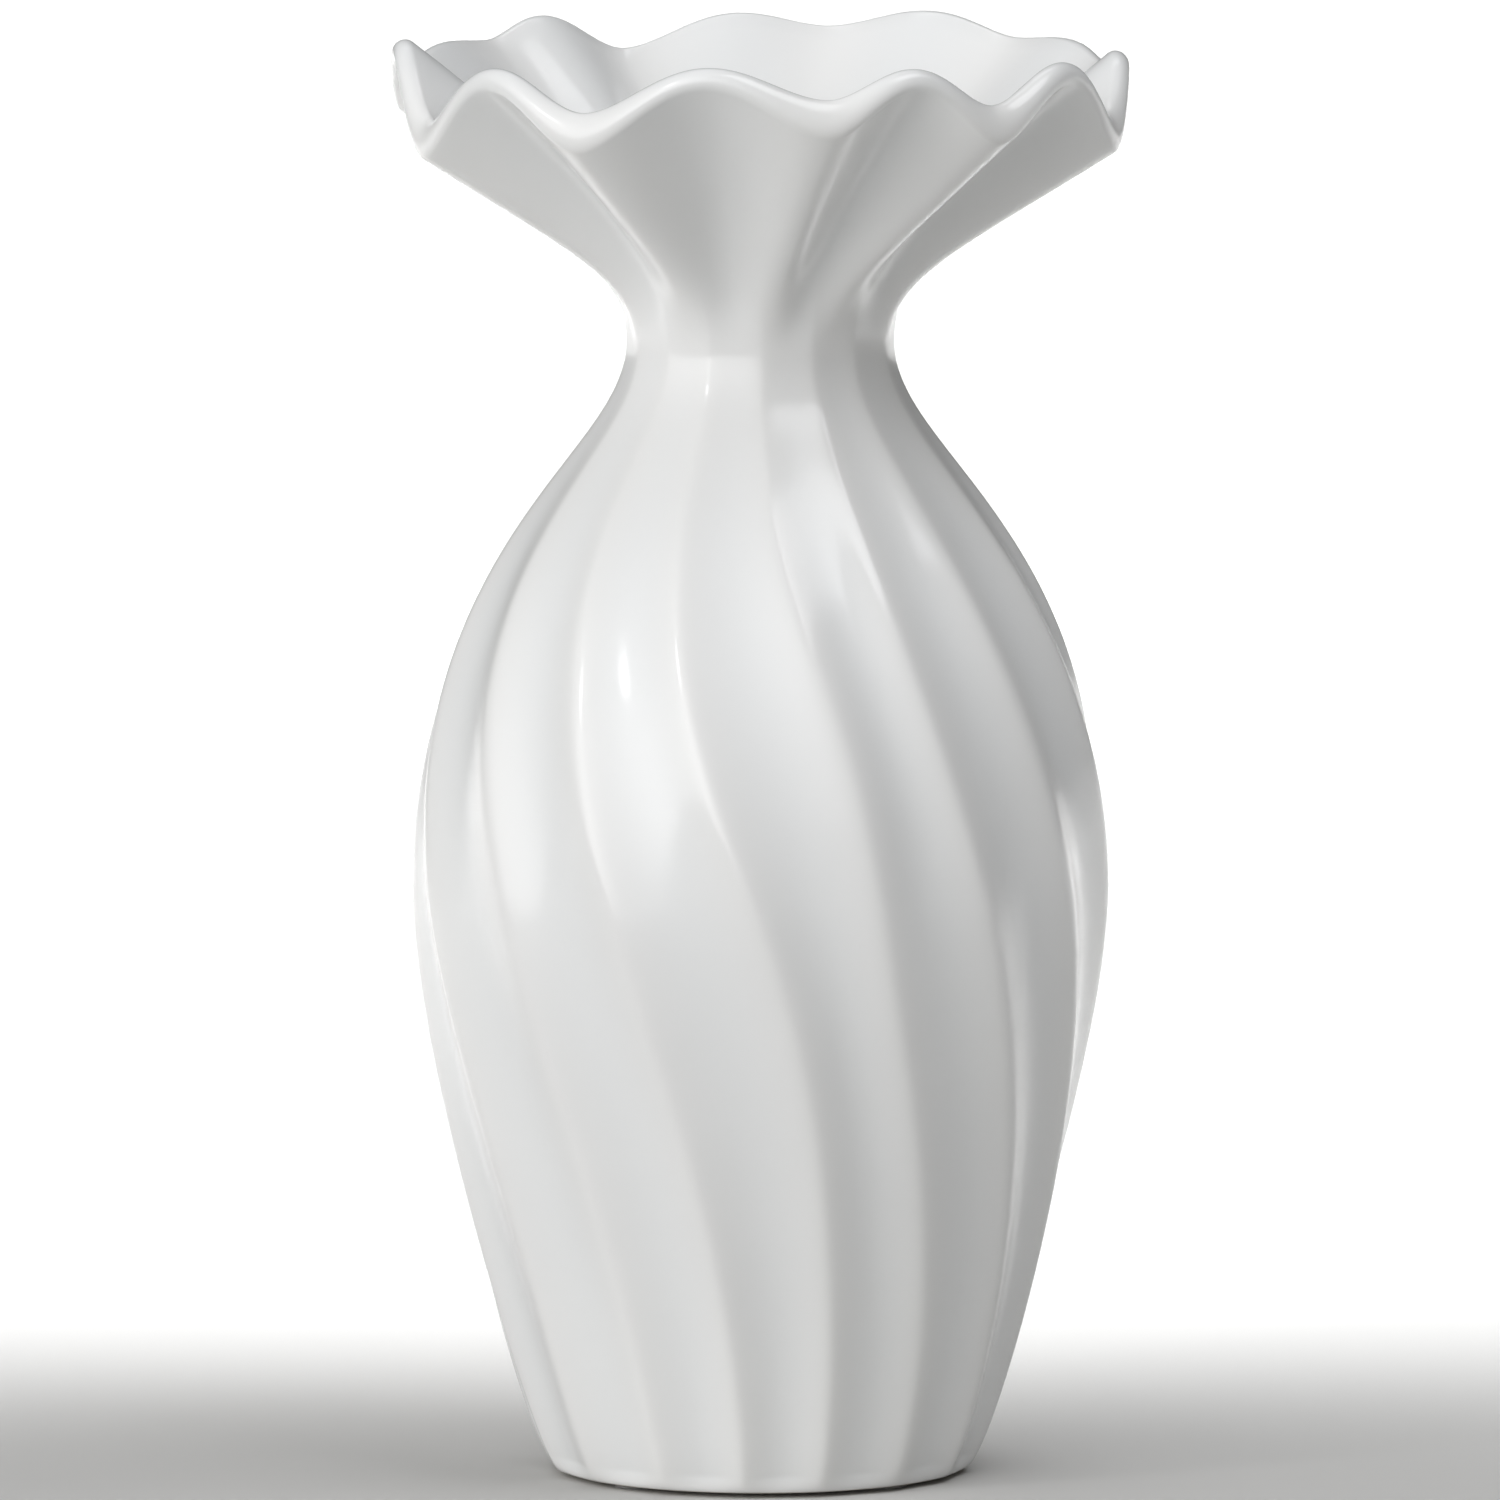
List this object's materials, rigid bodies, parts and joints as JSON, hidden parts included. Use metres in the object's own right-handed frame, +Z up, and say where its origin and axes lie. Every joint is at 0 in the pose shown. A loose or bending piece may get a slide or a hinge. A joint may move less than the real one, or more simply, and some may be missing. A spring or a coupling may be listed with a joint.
{
  "type": "flower vase",
  "caption": "Free-standing ceramic flower vase with twisted flutes round a full belly, a narrow neck and a wide ruffled mouth.",
  "frame": {"origin": "middle of the footprint, on the surface that the vase stands on", "axes": "+Z up through the middle of the mouth, -Y the front, +X to the right seen from the front"},
  "size_m": [0.128, 0.128, 0.251],
  "materials": {
    "white_glaze": "glossy white glaze, bare clay on the ring under the base",
    "pad_felt": "short grey felt"
  },
  "bodies": {
    "root": {"vase_body": "white_glaze", "foot_pad_1": "pad_felt", "foot_pad_2": "pad_felt", "foot_pad_3": "pad_felt", "foot_pad_4": "pad_felt"}
  },
  "joints": []
}
